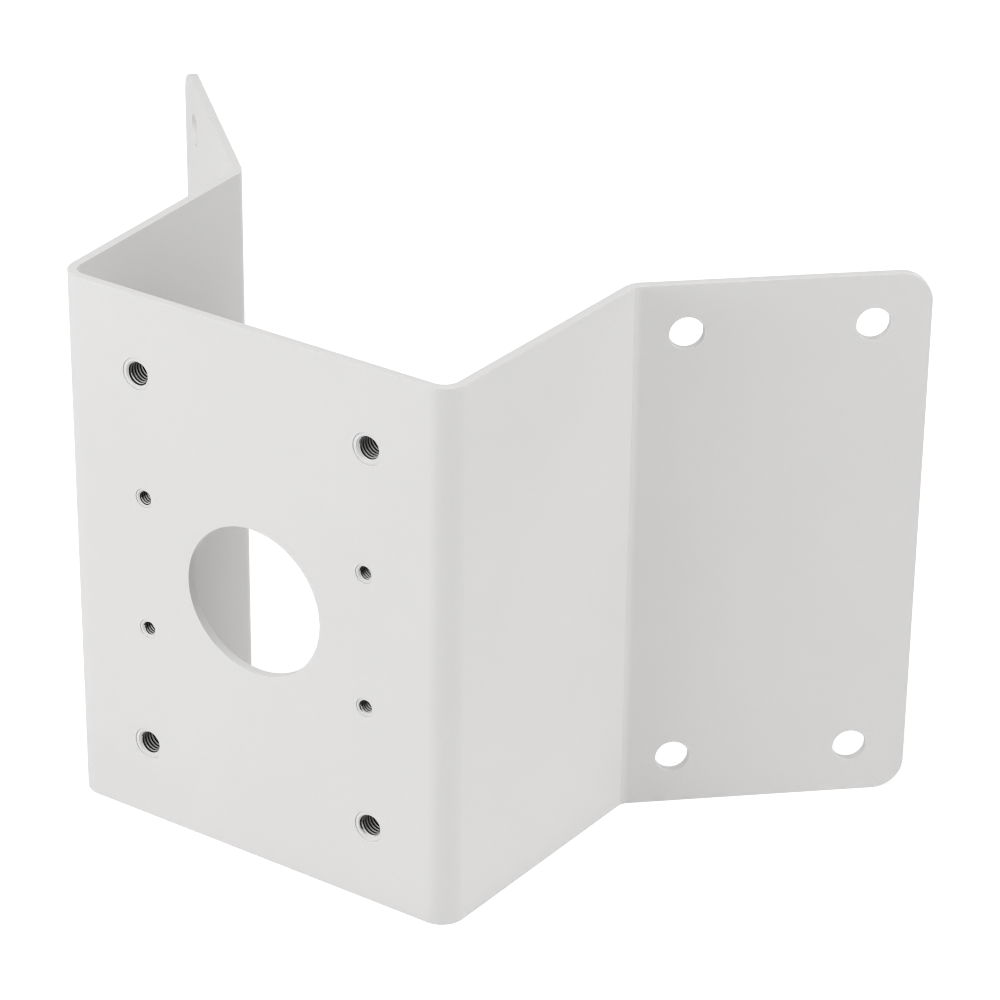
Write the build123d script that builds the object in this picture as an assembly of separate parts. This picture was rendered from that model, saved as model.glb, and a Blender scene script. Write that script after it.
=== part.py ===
from build123d import *
import math
import os

# Corner bracket for a wall camera, folded from one steel sheet.
# Millimetres. The origin is the centre of the cable hole, on the camera face.
# -Y points out of the camera face, +Y at the building, +Z up.

# The folded sheet. Lengths run between the sharp corners of its outer face.
sheet = 3.0
height = 183.0
plate_width = 145.0
web_depth = 92.5
flange_width = 92.0
bend_inside = 5.0
flange_corner = 10.0
edge_break = 0.2

# Degrees turned at each fold. The front folds stand 2.5 degrees open of square.
front_bend_angle = 87.5
flange_bend_angle = 45.3

# Holes in the sheet
cable_hole = 50.0
wall_hole = 11.0
wall_hole_spacing_x = 58.0
wall_hole_spacing_z = 150.0
wall_hole_to_edge = 18.0

# Clinch nuts for the camera, M8 x 1.25
camera_nut_spacing_x = 86.0
camera_nut_spacing_z = 130.0
camera_nut_bore = 6.65
camera_nut_shank = 10.5
camera_nut_head = 12.7
camera_nut_head_height = 6.0
camera_nut_countersink = 0.9

# Clinch nuts for a two-gang box or an adapter, M5 x 0.8
box_nut_spacing_x = 83.3
box_nut_spacing_z = 46.0
box_nut_bore = 4.13
box_nut_shank = 6.4
box_nut_head = 8.7
box_nut_head_height = 3.0
box_nut_countersink = 0.6

# Every nut's face stays below the camera face, and its head has a chamfer inside and outside
nut_recess = 0.3
nut_chamfer = 0.4

flange_angle = front_bend_angle - flange_bend_angle


def step(start, length, angle):
    """The point at this length and angle, in degrees from +X, from a point in plan."""
    turn = math.radians(angle)
    return start + Vector(length * math.cos(turn), length * math.sin(turn))


plate_corner = Vector(plate_width / 2, 0)
web_corner = step(plate_corner, web_depth, front_bend_angle)
flange_end = step(web_corner, flange_width, flange_angle)


def mirrored(point):
    return Vector(-point.X, point.Y)


def folded_sheet():
    """The outer face's line in plan, thickened inwards and drawn up to the full height."""
    right = [plate_corner, web_corner, flange_end]
    left = [mirrored(point) for point in reversed(right)]
    bend_outside = bend_inside + sheet
    radii = [bend_inside, bend_outside, bend_outside, bend_inside]
    outer_face = FilletPolyline(*left, *right, radius=radii)
    profile = make_face(offset(outer_face, sheet, side=Side.LEFT))
    return Pos(0, 0, -height / 2) * extrude(profile, height)


def round_flange_corners(body):
    """Round the four free corners of the two wall flanges."""
    ends = body.faces().sort_by(Axis.X)
    corners = [edge for end in (ends[0], ends[-1]) for edge in end.edges().sort_by(SortBy.LENGTH)[:2]]
    return fillet(corners, flange_corner)


def wall_hole_plane(side):
    """The middle of a flange's hole pattern on its outer face. side is 1 for the right, -1 for the left."""
    along = flange_width - wall_hole_to_edge - wall_hole_spacing_x / 2
    middle = step(web_corner, along, flange_angle)
    turn = math.radians(flange_angle)
    return Plane(
        origin=(side * middle.X, middle.Y, 0),
        x_dir=(side * math.cos(turn), math.sin(turn), 0),
        z_dir=(side * math.sin(turn), -math.cos(turn), 0),
    )


def drill(plane, diameter, locations):
    """Pins that cut round holes through the sheet at these places on a plane."""
    pin = Cylinder(diameter / 2, 4 * sheet)
    return [plane * place * pin for place in locations]


def break_rims(body):
    """Take the sharpness off every rim. The edges left out cross the thickness or run along a fold."""
    def is_rim(edge):
        return all(abs(edge.length - size) > 1e-3 for size in (sheet, height))

    return chamfer(body.edges().filter_by(is_rim), edge_break)


camera_face = Plane.XZ
camera_nut_places = GridLocations(camera_nut_spacing_x, camera_nut_spacing_z, 2, 2)
box_nut_places = GridLocations(box_nut_spacing_x, box_nut_spacing_z, 2, 2)


def corner_bracket():
    body = round_flange_corners(folded_sheet())
    wall_hole_places = GridLocations(wall_hole_spacing_x, wall_hole_spacing_z, 2, 2)
    body -= drill(camera_face, cable_hole, [Location()])
    for side in (1, -1):
        body -= drill(wall_hole_plane(side), wall_hole, wall_hole_places)
    body = break_rims(body)
    body -= drill(camera_face, camera_nut_shank, camera_nut_places)
    body -= drill(camera_face, box_nut_shank, box_nut_places)
    return body


def clinch_nut(bore, shank, head, head_height, countersink):
    """A round nut turned about +Z, with its face just below the camera face and its head behind the sheet."""
    bore_radius, shank_radius, head_radius = bore / 2, shank / 2, head / 2
    front = -nut_recess
    seat = -sheet
    back = -sheet - head_height
    outline = Polyline(
        (bore_radius, front - countersink),
        (bore_radius + countersink, front),
        (shank_radius, front),
        (shank_radius, seat),
        (head_radius, seat),
        (head_radius, back + nut_chamfer),
        (head_radius - nut_chamfer, back),
        (bore_radius + nut_chamfer, back),
        (bore_radius, back + nut_chamfer),
        close=True,
    )
    return revolve(Plane.XZ * make_face(outline), Axis.Z)


def in_each_place(nut, places):
    """A copy of the nut in each of these places on the camera face."""
    return Compound([camera_face * place * nut for place in places])


def camera_nuts():
    nut = clinch_nut(
        camera_nut_bore, camera_nut_shank, camera_nut_head, camera_nut_head_height, camera_nut_countersink
    )
    return in_each_place(nut, camera_nut_places)


def box_nuts():
    nut = clinch_nut(box_nut_bore, box_nut_shank, box_nut_head, box_nut_head_height, box_nut_countersink)
    return in_each_place(nut, box_nut_places)


os.makedirs("parts", exist_ok=True)
export_step(corner_bracket(), "parts/corner_bracket.step")
export_step(camera_nuts(), "parts/camera_nuts.step")
export_step(box_nuts(), "parts/box_nuts.step")
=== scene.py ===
import math
from collections import namedtuple

import bmesh
import bpy
from mathutils import Matrix, Vector

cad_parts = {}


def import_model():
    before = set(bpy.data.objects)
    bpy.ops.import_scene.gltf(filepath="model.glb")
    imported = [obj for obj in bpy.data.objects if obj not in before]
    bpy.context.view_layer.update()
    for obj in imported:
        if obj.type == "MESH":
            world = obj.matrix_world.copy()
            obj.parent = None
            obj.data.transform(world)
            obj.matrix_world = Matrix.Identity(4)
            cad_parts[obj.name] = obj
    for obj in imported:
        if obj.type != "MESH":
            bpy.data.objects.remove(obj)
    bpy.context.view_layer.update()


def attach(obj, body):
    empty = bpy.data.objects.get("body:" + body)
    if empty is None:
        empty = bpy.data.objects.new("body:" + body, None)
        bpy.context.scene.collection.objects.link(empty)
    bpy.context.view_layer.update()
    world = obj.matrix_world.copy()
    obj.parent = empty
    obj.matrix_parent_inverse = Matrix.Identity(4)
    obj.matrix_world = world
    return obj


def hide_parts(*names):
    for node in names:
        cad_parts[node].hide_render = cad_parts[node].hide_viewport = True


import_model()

# The bracket's shape follows its solids, in the same frame. Its lengths are in millimetres, and the
# meshes are scaled to metres at the end. Places and sizes of the floor, lamps and camera are in metres.
MM = 0.001

# The folded sheet. Its camera face lies at y = 0, and the widths of plate, web and flange run between the
# sharp corners of the camera side. The outer wall holes lie this far from a flange's end.
sheet = 3.0
height = 183.0
plate_width = 145.0
web_depth = 92.5
flange_width = 92.0
bend_inside = 5.0
bend_outside = bend_inside + sheet
front_turn = math.radians(87.5)
flange_turn = math.radians(45.3)
flange_corner = 10.0

cable_hole = 50.0
wall_hole = 11.0
wall_hole_spacing = (58.0, 150.0)
wall_hole_to_edge = 18.0

# The paint rounds the sheet's rims, a little more so round the nuts
rim_round = 0.1
nut_rim_round = 0.16

# The punch leaves a fine crease along each flange bend, on the camera side. It lies this far into the
# bend and is this wide and deep. Up to it the coat faces as the web does, and in it the coat is turned
# back by this much.
crease_into_bend = 1.5
crease_width = 0.5
crease_depth = 0.03
crease_turn = math.radians(30.0)

# How finely the sheet is drawn, with the crease's cuts as shares of its width from its middle
corner_steps = 16
front_bend_steps = 24
flange_bend_steps = 14
cable_hole_sides = 160
wall_hole_sides = 80
rim_steps = 4
crease_cuts = (-0.5, -0.35, 0.0, 0.35, 0.5)

# Edges of the flat sheet sharper than this many radians are rims
rim_angle = 1.2

# Further from the crease's middle than this share of its width, the coat isn't turned by it
crease_edge = 0.4

# What lies this near to a hole's rim, to a side of the sheet, to a cut or to another vertex is on it
on_rim = 0.01
on_side = 1e-4
on_cut = 1e-5
on_vertex = 1e-4

# The clinch nuts: their pattern in the camera face, the thread with its pitch and its flat crest as a
# share of that, the shank in the sheet, the head behind it, the front countersink, how deep paint got in,
# and the range of painted light on the thread's steel from its darkest to its brightest side, where 0 or
# less is full painted shade and 1 or more is full painted highlight. The last two say how finely a nut and
# its hole are drawn. The small thread is drawn a little coarser than a standard one, because that looks
# nearer to the photograph.
camera_nut = {
    "spacing": (86.0, 130.0),
    "thread": 8.0, "pitch": 1.25, "crest": 0.25,
    "shank": 10.5, "head": 12.7, "head_height": 6.0, "countersink": 0.9,
    "paint": 0.5, "painted_light": (0.16, 0.7),
    "sides": 96, "hole_sides": 72,
}
box_nut = {
    "spacing": (83.3, 46.0),
    "thread": 5.0, "pitch": 0.95, "crest": 0.44,
    "shank": 6.4, "head": 8.7, "head_height": 3.0, "countersink": 0.6,
    "paint": 0.36, "painted_light": (-0.4, 1.15),
    "sides": 72, "hole_sides": 56,
}

# The nuts' faces lie this deep below the camera face, and their shanks stay this clear of the sheet's
# holes. Each shank's front edge is broken by the lip, in two steps that meet this share of it from the
# sharp corner.
nut_recess = 0.3
shank_gap = 0.02
nut_lip = 0.12
lip_bulge = 0.3
nut_chamfer = 0.4
back_countersink = 0.7

# A thread's depth and its flat root, as shares of the pitch, and the steps in each flank
thread_depth = 0.5413
thread_root = 1 / 8
flank_steps = 4

# Each next nut's thread starts this many radians further round
start_step = 1.9

# Places round a nut are measured in the camera face from +X towards +Z. The thread's painted highlight
# lies on this side and its painted shade opposite, by this weight. The other two are added at the camera
# face and for each millimetre of depth, so the painted highlight grows deeper in.
lit_side_turn = math.radians(285.0)
lit_side_weight = 1.1
light_at_face = 0.1
lighter_with_depth = 0.05

# Paint ran deepest along the threads' crests on this side, by this share of the pitch, and missed the
# grooves deeper than this share of the thread
paint_run_turn = math.radians(232.0)
paint_run = 0.8
paint_gap = 0.3

# Edges in a nut sharper than this many radians stay crisp
crisp_angle = 0.5

# The nuts' two material slots
coat_slot = 0
steel_slot = 1

# The lamps face this place, in metres
bracket_middle = (0.0, 0.07, 0.0)


# Colours and materials

def material(name):
    """A new material, with its nodes, its links and the shader that makes its surface."""
    made = bpy.data.materials.new(name)
    made.use_nodes = True
    nodes, links = made.node_tree.nodes, made.node_tree.links
    nodes.clear()
    out = nodes.new("ShaderNodeOutputMaterial")
    shader = nodes.new("ShaderNodeBsdfPrincipled")
    links.new(shader.outputs["BSDF"], out.inputs["Surface"])
    return made, nodes, links, shader


def noise(nodes, links, coords, scale, detail):
    """Grey noise of a scale per metre, as a socket."""
    node = nodes.new("ShaderNodeTexNoise")
    node.inputs["Scale"].default_value = scale
    node.inputs["Detail"].default_value = detail
    links.new(coords, node.inputs["Vector"])
    return node.outputs["Fac"]


def attribute(nodes, name):
    """A value that the mesh holds at its vertices, as a socket."""
    node = nodes.new("ShaderNodeAttribute")
    node.attribute_name = name
    return node.outputs["Fac"]


def remap(nodes, links, value, given, wanted):
    """A socket's value taken from one range to another, and kept in it."""
    node = nodes.new("ShaderNodeMapRange")
    node.inputs["From Min"].default_value = given[0]
    node.inputs["From Max"].default_value = given[1]
    node.inputs["To Min"].default_value = wanted[0]
    node.inputs["To Max"].default_value = wanted[1]
    links.new(value, node.inputs["Value"])
    return node.outputs["Result"]


def combine(nodes, links, operation, first, second):
    """Two sockets' values under one operation, as a socket."""
    node = nodes.new("ShaderNodeMath")
    node.operation = operation
    links.new(first, node.inputs[0])
    links.new(second, node.inputs[1])
    return node.outputs[0]


def mix_colours(nodes, links, factor, first, second):
    """Two colours mixed by a factor, as a socket. Each is a colour or a socket."""
    node = nodes.new("ShaderNodeMix")
    node.data_type = "RGBA"
    links.new(factor, node.inputs["Factor"])
    for socket, value in (("A", first), ("B", second)):
        entry = [i for i in node.inputs if i.name == socket and i.type == "RGBA"][0]
        if hasattr(value, "is_linked"):
            links.new(value, entry)
        else:
            entry.default_value = (*value, 1.0)
    return [o for o in node.outputs if o.type == "RGBA"][0]


def bump(nodes, links, relief, strength, distance):
    """A node that turns the surface by a fine relief."""
    node = nodes.new("ShaderNodeBump")
    node.inputs["Strength"].default_value = strength
    node.inputs["Distance"].default_value = distance
    links.new(relief, node.inputs["Height"])
    return node


def powder_coat():
    """Light grey satin powder coat, with a fine orange peel and faint clouding."""
    dark_colour = (0.765, 0.757, 0.752)
    light_colour = (0.785, 0.777, 0.772)
    grain_colour = (0.75, 0.742, 0.737)
    made, nodes, links, shader = material("powder_coat")
    where = nodes.new("ShaderNodeTexCoord").outputs["Object"]
    cloud = noise(nodes, links, where, scale=14.0, detail=3.0)
    grain = noise(nodes, links, where, scale=1100.0, detail=2.0)
    peel = noise(nodes, links, where, scale=420.0, detail=2.0)

    clouding = remap(nodes, links, cloud, (0.3, 0.7), (0.0, 1.0))
    clouded = mix_colours(nodes, links, clouding, dark_colour, light_colour)
    graining = remap(nodes, links, grain, (0.35, 0.65), (0.0, 0.3))
    grained = mix_colours(nodes, links, graining, clouded, grain_colour)
    links.new(grained, shader.inputs["Base Color"])

    roughness = remap(nodes, links, cloud, (0.3, 0.7), (0.46, 0.54))
    links.new(roughness, shader.inputs["Roughness"])
    shader.inputs["IOR"].default_value = 1.48

    fine = bump(nodes, links, grain, strength=0.12, distance=0.00004)
    broad = bump(nodes, links, peel, strength=0.25, distance=0.00005)
    links.new(fine.outputs["Normal"], broad.inputs["Normal"])
    links.new(broad.outputs["Normal"], shader.inputs["Normal"])
    return made


def thread_steel():
    """Plated steel with fine tool marks. Its colour holds painted shade in the thread's grooves, and painted
    shade and painted highlight that vary round each nut and with depth.
    """
    # The steel's colour runs from painted shade on the thread's darker side to a painted highlight on its
    # lit side
    painted_shade_colour = (0.04, 0.04, 0.038)
    painted_highlight_colour = (0.86, 0.85, 0.83)
    groove_shade_colour = (0.006, 0.006, 0.006)
    made, nodes, links, shader = material("thread_steel")
    where = nodes.new("ShaderNodeTexCoord").outputs["Object"]
    blotch = noise(nodes, links, where, scale=900.0, detail=3.0)
    marks = noise(nodes, links, where, scale=5200.0, detail=2.0)

    blotches = remap(nodes, links, blotch, (0.3, 0.7), (0.8, 1.0))
    # Painted shade and painted highlight from the vertices, broken up by random blotches
    lit_and_blotched = combine(nodes, links, "MULTIPLY", attribute(nodes, "painted_light"), blotches)
    crest = mix_colours(nodes, links, lit_and_blotched, painted_shade_colour, painted_highlight_colour)
    # Painted shade in the thread's grooves, darker the deeper they are
    depth = remap(nodes, links, attribute(nodes, "groove"), (0.02, 0.4), (0.0, 1.0))
    cut = mix_colours(nodes, links, depth, crest, groove_shade_colour)
    links.new(cut, shader.inputs["Base Color"])

    roughness = remap(nodes, links, depth, (0.0, 1.0), (0.4, 0.5))
    links.new(roughness, shader.inputs["Roughness"])
    shader.inputs["Metallic"].default_value = 0.5
    tooled = bump(nodes, links, marks, strength=0.3, distance=0.00002)
    links.new(tooled.outputs["Normal"], shader.inputs["Normal"])
    return made


# The folded sheet

Run = namedtuple("Run", "length radius way")
Hole = namedtuple("Hole", "centre radius sides rounding")


def sheet_runs():
    """The camera side of the sheet from the middle to the right end, as straight and bent runs.
    Each has its length along the surface, its radius there and the way it turns."""
    front_cut = bend_outside * math.tan(front_turn / 2)
    flange_cut = bend_inside * math.tan(flange_turn / 2)
    return [
        Run(plate_width / 2 - front_cut, 0.0, 0),
        Run(bend_outside * front_turn, bend_outside, 1),
        Run(web_depth - front_cut - flange_cut, 0.0, 0),
        Run(bend_inside * flange_turn, bend_inside, -1),
        Run(flange_width - flange_cut, 0.0, 0),
    ]


runs = sheet_runs()
half_length = sum(run.length for run in runs)
front_bend_start = runs[0].length
front_bend_end = front_bend_start + runs[1].length
flange_bend_start = front_bend_end + runs[2].length
flange_bend_end = flange_bend_start + runs[3].length
crease_middle = flange_bend_start + crease_into_bend


def into_sheet(heading):
    """The direction in plan from the camera side into the sheet, where the sheet runs along a heading."""
    return Vector((-math.sin(heading), math.cos(heading)))


def folded(along, depth):
    """Plan point and heading for a place on the flat sheet: along it from the middle, and deep in it
    from the camera side."""
    side = -1.0 if along < 0 else 1.0
    left = abs(along)
    point = Vector((0.0, 0.0))
    heading = 0.0
    for run in runs:
        step = left if run is runs[-1] else min(left, run.length)
        if run.way:
            centre = point + run.way * run.radius * into_sheet(heading)
            heading += run.way * step / run.radius
            point = centre - run.way * run.radius * into_sheet(heading)
        else:
            point = point + step * Vector((math.cos(heading), math.sin(heading)))
        left -= step
        if left <= 0.0:
            break
    place = point + depth * into_sheet(heading)
    return Vector((side * place.x, place.y)), side * heading


def loop(mesh, points):
    """A closed loop of edges in the flat sheet, through points given as X and Z."""
    verts = [mesh.verts.new((x, 0.0, z)) for x, z in points]
    return [mesh.edges.new((vert, verts[(i + 1) % len(verts)])) for i, vert in enumerate(verts)]


def circle(hole):
    """The points round a hole."""
    turns = [2 * math.pi * i / hole.sides for i in range(hole.sides)]
    x, z = hole.centre
    return [(x + hole.radius * math.cos(turn), z + hole.radius * math.sin(turn)) for turn in turns]


def outline():
    """The flat sheet's edge: a rectangle whose corners are rounded."""
    across = half_length - flange_corner
    up = height / 2 - flange_corner
    points = []
    for quarter, (sx, sz) in enumerate(((1, 1), (-1, 1), (-1, -1), (1, -1))):
        for i in range(corner_steps + 1):
            turn = math.pi / 2 * (quarter + i / corner_steps)
            x = sx * across + flange_corner * math.cos(turn)
            z = sz * up + flange_corner * math.sin(turn)
            points.append((x, z))
    return points


def corners_of(spacing, middle=0.0):
    """The four places of a pattern, whose middle may lie to one side."""
    return [(middle + x * spacing[0] / 2, z * spacing[1] / 2) for x in (-1, 1) for z in (-1, 1)]


def holes():
    """The cable hole, the nuts' holes and the wall holes in the flat sheet."""
    made = [Hole((0.0, 0.0), cable_hole / 2, cable_hole_sides, rim_round)]
    for sizes in (camera_nut, box_nut):
        for centre in corners_of(sizes["spacing"]):
            made.append(Hole(centre, sizes["shank"] / 2, sizes["hole_sides"], nut_rim_round))
    middle = half_length - wall_hole_to_edge - wall_hole_spacing[0] / 2
    for side in (-1, 1):
        for centre in corners_of(wall_hole_spacing, side * middle):
            made.append(Hole(centre, wall_hole / 2, wall_hole_sides, rim_round))
    return made


def evenly(start, end, steps):
    """Places from a start to an end, in even steps."""
    return [start + (end - start) * i / steps for i in range(steps + 1)]


def cut_places():
    """Where the flat sheet is cut across on each side, so that it bends and creases smoothly."""
    crease = [crease_middle + share * crease_width for share in crease_cuts]
    front = evenly(front_bend_start, front_bend_end, front_bend_steps)
    flange = evenly(flange_bend_start, flange_bend_end, flange_bend_steps)
    return crease + front + flange


def flat_sheet():
    """The sheet before folding, with its holes, thickness and rounded rims."""
    mesh = bmesh.new()
    edges = loop(mesh, outline())
    made = holes()
    for hole in made:
        edges += loop(mesh, circle(hole))
    bmesh.ops.triangle_fill(mesh, edges=edges, use_beauty=True, normal=(0.0, -1.0, 0.0))

    for place in cut_places():
        for x in (-place, place):
            everything = list(mesh.verts) + list(mesh.edges) + list(mesh.faces)
            bmesh.ops.bisect_plane(
                mesh, geom=everything, dist=on_cut, plane_co=(x, 0.0, 0.0), plane_no=(1.0, 0.0, 0.0))

    raised = bmesh.ops.extrude_face_region(mesh, geom=list(mesh.faces), use_keep_orig=True)
    moved = [part for part in raised["geom"] if isinstance(part, bmesh.types.BMVert)]
    bmesh.ops.translate(mesh, verts=moved, vec=(0.0, sheet, 0.0))
    bmesh.ops.recalc_face_normals(mesh, faces=list(mesh.faces))

    def rounding_at(edge):
        middle = (edge.verts[0].co + edge.verts[1].co) / 2
        for hole in made:
            x, z = hole.centre
            if math.hypot(middle.x - x, middle.z - z) < hole.radius + on_rim:
                return hole.rounding
        return rim_round

    rims = {}
    for edge in mesh.edges:
        if len(edge.link_faces) == 2 and edge.calc_face_angle() > rim_angle:
            rims.setdefault(rounding_at(edge), []).append(edge)
    for rounding, group in sorted(rims.items()):
        live = [edge for edge in group if edge.is_valid]
        bmesh.ops.bevel(
            mesh, geom=live, offset=rounding, segments=rim_steps, profile=0.5, affect="EDGES",
            clamp_overlap=False)
    return mesh


def into_crease(flat):
    """Where a place on the flat sheet lies across the crease, as a share of its width from the middle."""
    return (abs(flat.x) - crease_middle) / crease_width


def lowered(flat):
    """How far the crease lowers a place on the flat sheet."""
    if flat.y > on_side:
        return 0.0
    return crease_depth * max(0.0, 1.0 - 2.0 * abs(into_crease(flat)))


def facing(flat, heading):
    """The heading that the coat follows at a place on the flat sheet. Only near the crease isn't it the
    sheet's own heading."""
    across = into_crease(flat)
    if flat.y > on_side or abs(flat.x) < flange_bend_start or across > crease_edge:
        return heading
    turned = front_turn if across < -crease_edge else front_turn - crease_turn
    return math.copysign(turned, flat.x)


def sheet_normal(vert):
    """The surface direction at a vertex of the flat sheet."""
    if vert.co.y < on_side:
        return Vector((0.0, -1.0, 0.0))
    if vert.co.y > sheet - on_side:
        return Vector((0.0, 1.0, 0.0))
    return vert.normal.copy()


def add(name, data):
    """A new object in the scene."""
    made = bpy.data.objects.new(name, data)
    bpy.context.scene.collection.objects.link(made)
    return made


def bracket():
    """The sheet folded, with the direction of its surface kept from the flat sheet."""
    mesh = flat_sheet()
    mesh.normal_update()
    normals = []
    for vert in mesh.verts:
        flat = sheet_normal(vert)
        place, heading = folded(vert.co.x, vert.co.y + lowered(vert.co))
        heading = facing(vert.co, heading)
        vert.co = Vector((place.x, place.y, vert.co.z)) * MM
        normals.append(Matrix.Rotation(heading, 3, "Z") @ flat)
    data = bpy.data.meshes.new("bracket_sheet")
    mesh.to_mesh(data)
    mesh.free()
    for face in data.polygons:
        face.use_smooth = True
    data.normals_split_custom_set_from_vertices(normals)
    return add("bracket_sheet", data)


# The clinch nuts

def thread_steps(crest):
    """One turn of the thread as (share of the pitch, share of the thread's depth)."""
    flank = (1 - crest - thread_root) / 2
    rise = [(crest / 2 + flank * i / flank_steps, i / flank_steps) for i in range(flank_steps + 1)]
    fall = [(1 - share, deep) for share, deep in reversed(rise)]
    return rise + fall


def nut_mesh(mesh, sizes, centre, start):
    """One nut in the mesh: a turned outside, and a helical thread that runs out into a countersink at
    each end. The thread starts at an angle of its own."""
    sides = sizes["sides"]
    pitch = sizes["pitch"]
    depth = thread_depth * pitch
    minor = sizes["thread"] / 2 - depth
    shank = sizes["shank"] / 2 - shank_gap
    head = sizes["head"] / 2
    sink = sizes["countersink"]
    front = nut_recess
    back = sheet + sizes["head_height"]
    groove = mesh.verts.layers.float["groove"]
    turns = [2 * math.pi * i / sides for i in range(sides + 1)]

    def point(radius, at, turn, deep=0.0):
        x = centre[0] + radius * math.cos(turn)
        z = centre[1] + radius * math.sin(turn)
        vert = mesh.verts.new((x, at, z))
        vert[groove] = deep
        return vert

    def skin(rows, slot):
        for lower, upper in zip(rows, rows[1:]):
            for i in range(sides):
                face = mesh.faces.new([lower[i], lower[i + 1], upper[i + 1], upper[i]])
                face.material_index = slot

    outside = [
        (minor + sink, front),
        (shank - nut_lip, front),
        (shank - nut_lip * lip_bulge, front + nut_lip * lip_bulge),
        (shank, front + nut_lip),
        (shank, sheet),
        (head, sheet),
        (head, back - nut_chamfer),
        (head - nut_chamfer, back),
        (minor + back_countersink, back),
    ]
    skin([[point(radius, at, turn) for turn in turns] for radius, at in outside], coat_slot)

    rows = []
    for number in range(-1, int((back - front) / pitch) + 3):
        for share, deep in thread_steps(sizes["crest"]):
            row = []
            for turn in turns:
                at = front + (number + share) * pitch - pitch * (turn + start) / (2 * math.pi)
                at = min(max(at, front), back)
                flare = minor + max(0.0, sink - (at - front), back_countersink - (back - at))
                cut = minor + depth * deep
                row.append(point(max(cut, flare), at, turn, deep if cut > flare else 0.0))
            rows.append(row)
    skin(rows, steel_slot)


def turn_in_nut(at, centres):
    """The way from the nearest nut's axis to a point."""
    centre = min(centres, key=lambda c: math.hypot(at.x - c[0], at.z - c[1]))
    return math.atan2(at.z - centre[1], at.x - centre[0])


def paint_mouths(mesh, sizes, centres):
    """Gives the thread's faces near the front to the paint, deeper along the crests on one side."""
    groove = mesh.verts.layers.float["groove"]
    for face in mesh.faces:
        if face.material_index == steel_slot:
            at = face.calc_center_median()
            reach = nut_recess + sizes["paint"]
            if sum(vert[groove] for vert in face.verts) < paint_gap * len(face.verts):
                side = max(0.0, math.cos(turn_in_nut(at, centres) - paint_run_turn))
                reach += paint_run * sizes["pitch"] * side ** 2
            face.material_index = coat_slot if at.y < reach else steel_slot


def paint_thread_light(mesh, sizes, centres):
    """Writes the painted light at each vertex: painted shade on one side of each nut, painted highlight on
    the other, and more of it deeper in.
    """
    painted_light = mesh.verts.layers.float["painted_light"]
    darkest, brightest = sizes["painted_light"]
    for vert in mesh.verts:
        side = math.cos(turn_in_nut(vert.co, centres) - lit_side_turn)
        share = lit_side_weight * side + light_at_face + lighter_with_depth * vert.co.y
        vert[painted_light] = darkest + (brightest - darkest) * min(1.0, max(0.0, share))


def nuts(name, sizes):
    """All the nuts of one size, as one piece. The mouth of each countersink is painted with the sheet."""
    mesh = bmesh.new()
    for layer in ("groove", "painted_light"):
        mesh.verts.layers.float.new(layer)
    centres = corners_of(sizes["spacing"])
    for number, centre in enumerate(centres):
        nut_mesh(mesh, sizes, centre, start_step * number)
    bmesh.ops.remove_doubles(mesh, verts=list(mesh.verts), dist=on_vertex)
    bmesh.ops.dissolve_degenerate(mesh, dist=on_vertex, edges=list(mesh.edges))
    bmesh.ops.recalc_face_normals(mesh, faces=list(mesh.faces))
    # Paints shade and highlight into the thread steel's colour
    paint_thread_light(mesh, sizes, centres)
    paint_mouths(mesh, sizes, centres)
    for face in mesh.faces:
        face.smooth = True
    for edge in mesh.edges:
        if len(edge.link_faces) == 2 and edge.calc_face_angle() > crisp_angle:
            edge.smooth = False
    for vert in mesh.verts:
        vert.co *= MM
    data = bpy.data.meshes.new(name)
    mesh.to_mesh(data)
    mesh.free()
    return add(name, data)


# Floor, lamps and camera

def background_rays(nodes, links):
    """1 for rays that show the background itself: the camera's own, reflected and transmitted ones."""
    rays = nodes.new("ShaderNodeLightPath").outputs
    seen = rays["Is Camera Ray"]
    for kind in ("Is Glossy Ray", "Is Transmission Ray"):
        seen = combine(nodes, links, "MAXIMUM", seen, rays[kind])
    return seen


def floor():
    """A white floor. As background it keeps only a light shadow."""
    reach = 6.0
    colour = (0.86, 0.86, 0.86, 1.0)
    shadow_colour = (0.25, 0.25, 0.25, 1.0)
    base = -height / 2 * MM
    data = bpy.data.meshes.new("floor")
    corners = [(x, y, base) for x, y in ((-reach, -reach), (reach, -reach), (reach, reach), (-reach, reach))]
    data.from_pydata(corners, [], [(0, 1, 2, 3)])
    surface = bpy.data.materials.new("floor")
    surface.use_nodes = True
    nodes, links = surface.node_tree.nodes, surface.node_tree.links
    nodes.clear()
    out = nodes.new("ShaderNodeOutputMaterial")
    real = nodes.new("ShaderNodeBsdfDiffuse")
    real.inputs["Color"].default_value = colour
    shaded = nodes.new("ShaderNodeBsdfDiffuse")
    shaded.inputs["Color"].default_value = shadow_colour
    glow = nodes.new("ShaderNodeEmission")
    glow.inputs["Strength"].default_value = 0.85
    both = nodes.new("ShaderNodeAddShader")
    pick = nodes.new("ShaderNodeMixShader")
    links.new(shaded.outputs[0], both.inputs[0])
    links.new(glow.outputs[0], both.inputs[1])
    links.new(background_rays(nodes, links), pick.inputs[0])
    links.new(real.outputs[0], pick.inputs[1])
    links.new(both.outputs[0], pick.inputs[2])
    links.new(pick.outputs[0], out.inputs["Surface"])
    data.materials.append(surface)
    add("floor", data)


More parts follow.
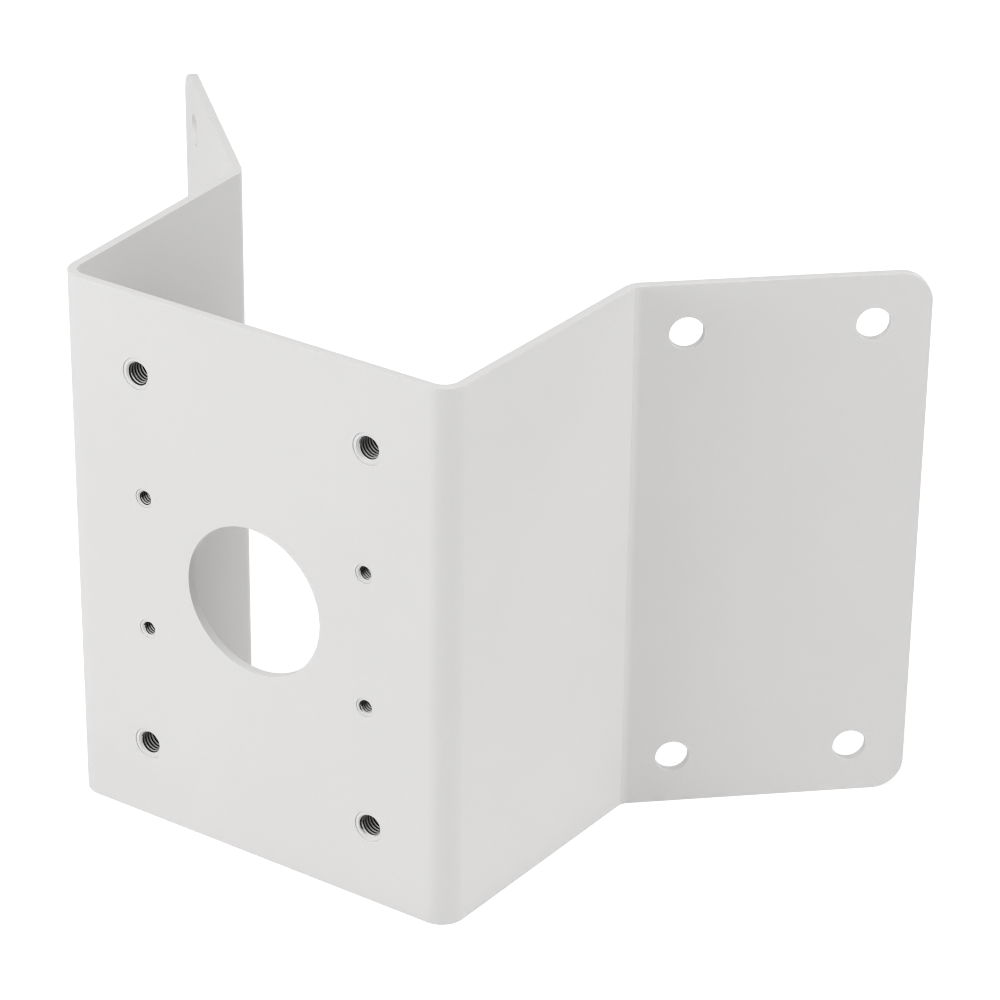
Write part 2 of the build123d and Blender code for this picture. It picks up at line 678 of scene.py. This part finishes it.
def world():
    """Weak light from all sides, in front of a white background."""
    made = bpy.data.worlds.new("studio")
    bpy.context.scene.world = made
    made.use_nodes = True
    nodes, links = made.node_tree.nodes, made.node_tree.links
    nodes.clear()
    out = nodes.new("ShaderNodeOutputWorld")
    soft = nodes.new("ShaderNodeBackground")
    soft.inputs["Strength"].default_value = 0.15
    white = nodes.new("ShaderNodeBackground")
    white.inputs["Color"].default_value = (1.0, 1.0, 1.0, 1.0)
    white.inputs["Strength"].default_value = 1.0
    pick = nodes.new("ShaderNodeMixShader")
    links.new(background_rays(nodes, links), pick.inputs[0])
    links.new(soft.outputs[0], pick.inputs[1])
    links.new(white.outputs[0], pick.inputs[2])
    links.new(pick.outputs[0], out.inputs["Surface"])


def lamp(name, place, size, power):
    """A square soft lamp that faces the middle of the bracket."""
    data = bpy.data.lights.new(name, "AREA")
    data.shape = "SQUARE"
    data.size = size
    data.energy = power
    made = add(name, data)
    made.location = place
    ahead = Vector(bracket_middle) - Vector(place)
    made.rotation_euler = ahead.to_track_quat("-Z", "Y").to_euler()


def camera():
    """The photograph's view, found by fitting a camera to the bracket's edges and holes in it."""
    yaw, pitch, roll = 0.59170, 0.48355, 0.01239
    place = Vector((0.67027, -0.86348, 0.60891))
    ahead = Vector((-math.sin(yaw) * math.cos(pitch), math.cos(yaw) * math.cos(pitch), -math.sin(pitch)))
    right = Vector((math.cos(yaw), math.sin(yaw), 0.0))
    up = right.cross(ahead)
    tilted_right = math.cos(roll) * right + math.sin(roll) * up
    tilted_up = math.cos(roll) * up - math.sin(roll) * right
    data = bpy.data.cameras.new("camera")
    data.sensor_width = 36.0
    data.lens = 147.655
    data.clip_start = 0.01
    data.clip_end = 50.0
    made = add("camera", data)
    turned = Matrix((tilted_right, tilted_up, -ahead)).transposed().to_4x4()
    made.matrix_world = Matrix.Translation(place) @ turned
    bpy.context.scene.camera = made


coat = powder_coat()
steel = thread_steel()

body = bracket()
body.data.materials.append(coat)
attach(body, "root")
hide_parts("corner_bracket")

for name, node, sizes in (
    ("camera_nut_threads", "camera_nuts", camera_nut),
    ("box_nut_threads", "box_nuts", box_nut),
):
    piece = nuts(name, sizes)
    piece.data.materials.append(coat)
    piece.data.materials.append(steel)
    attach(piece, "root")
    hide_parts(node)

floor()
world()

# Each lamp's name, place, size and power in watts
lamp("front_left", (-0.65, -2.5, 0.2), 0.8, 13.2)
lamp("near_left", (-0.6, -0.75, 0.25), 0.5, 1.9)
lamp("high_left", (-0.9, -1.5, 1.6), 0.8, 3.8)
lamp("top_front", (0.2, -1.2, 2.0), 1.2, 16.0)
lamp("top", (0.0, 0.2, 2.4), 1.8, 24.5)
lamp("right_back", (2.0, 1.5, 0.9), 1.2, 5.3)
lamp("right_low", (2.2, 1.0, 0.3), 0.6, 10.5)
lamp("right_near", (1.5, 0.35, 0.5), 0.7, 3.7)
camera()
bpy.context.scene.view_settings.view_transform = "Standard"

# A narrow pixel filter, for edges as sharp as the photograph's
bpy.context.scene.cycles.filter_width = 1.0
